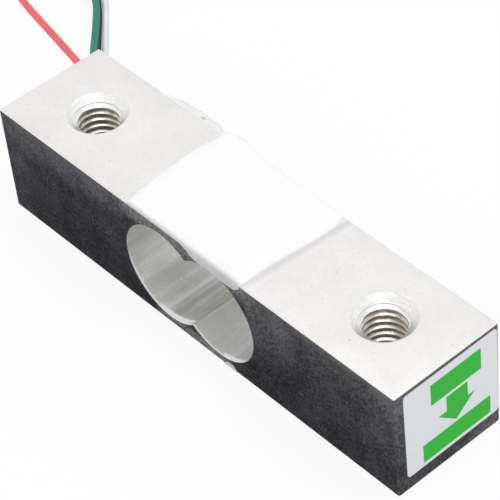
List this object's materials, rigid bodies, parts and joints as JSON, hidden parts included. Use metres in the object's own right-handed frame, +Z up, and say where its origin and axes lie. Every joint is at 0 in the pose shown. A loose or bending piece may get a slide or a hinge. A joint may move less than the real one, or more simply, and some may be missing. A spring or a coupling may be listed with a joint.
{
  "type": "weighing load cell",
  "caption": "Bar load cell: an aluminium bar with a double bore and tapped holes, silicone over its strain gauges, a green label on one end and four thin coloured leads",
  "frame": {"origin": "the middle of the bar's length and width, on the surface that the coat under the bar stands on", "axes": "+X along the bar to the labelled, loaded end; +Y to the side that the leads leave; +Z up"},
  "size_m": [0.0944, 0.0505, 0.0137],
  "materials": {
    "aluminium": "fine milled aluminium, satin top, darker brushed sides",
    "silicone_white": "soft white room-temperature silicone, brushed on by hand",
    "silicone_clear": "cloudy, translucent silicone bead",
    "gauge_film": "thin amber polyimide film",
    "gauge_foil": "etched constantan foil",
    "strip_board": "thin glass-fibre strip",
    "copper": "bright copper",
    "solder": "dull tin solder",
    "enamel": "enamelled copper wire",
    "tinned_copper": "tinned copper strands",
    "label": "white label paper with green print",
    "pvc_red": "soft red PVC",
    "pvc_green": "soft green PVC",
    "pvc_white": "soft white PVC",
    "pvc_black": "soft black PVC"
  },
  "bodies": {
    "root": {"load_beam": "aluminium", "top_silicone": "silicone_white", "bottom_silicone": "silicone_white", "lead_silicone": "silicone_clear", "terminal_strip": "strip_board", "terminal_pads": "copper", "pad_solder": "solder", "tab_solder_top": "solder", "tab_solder_bottom": "solder", "enamel_wires_top": "enamel", "enamel_wires_bottom": "enamel", "lead_cores": "tinned_copper", "end_label": "label", "gauge_film_top_fixed": "gauge_film", "gauge_foil_top_fixed": "gauge_foil", "gauge_film_top_loaded": "gauge_film", "gauge_foil_top_loaded": "gauge_foil", "gauge_film_bottom_fixed": "gauge_film", "gauge_foil_bottom_fixed": "gauge_foil", "gauge_film_bottom_loaded": "gauge_film", "gauge_foil_bottom_loaded": "gauge_foil", "lead_red": "pvc_red", "lead_red_coil": "pvc_red", "lead_red_tip": "tinned_copper", "lead_green": "pvc_green", "lead_green_coil": "pvc_green", "lead_green_tip": "tinned_copper", "lead_white": "pvc_white", "lead_white_coil": "pvc_white", "lead_white_tip": "tinned_copper", "lead_black": "pvc_black", "lead_black_coil": "pvc_black", "lead_black_tip": "tinned_copper"}
  },
  "joints": []
}
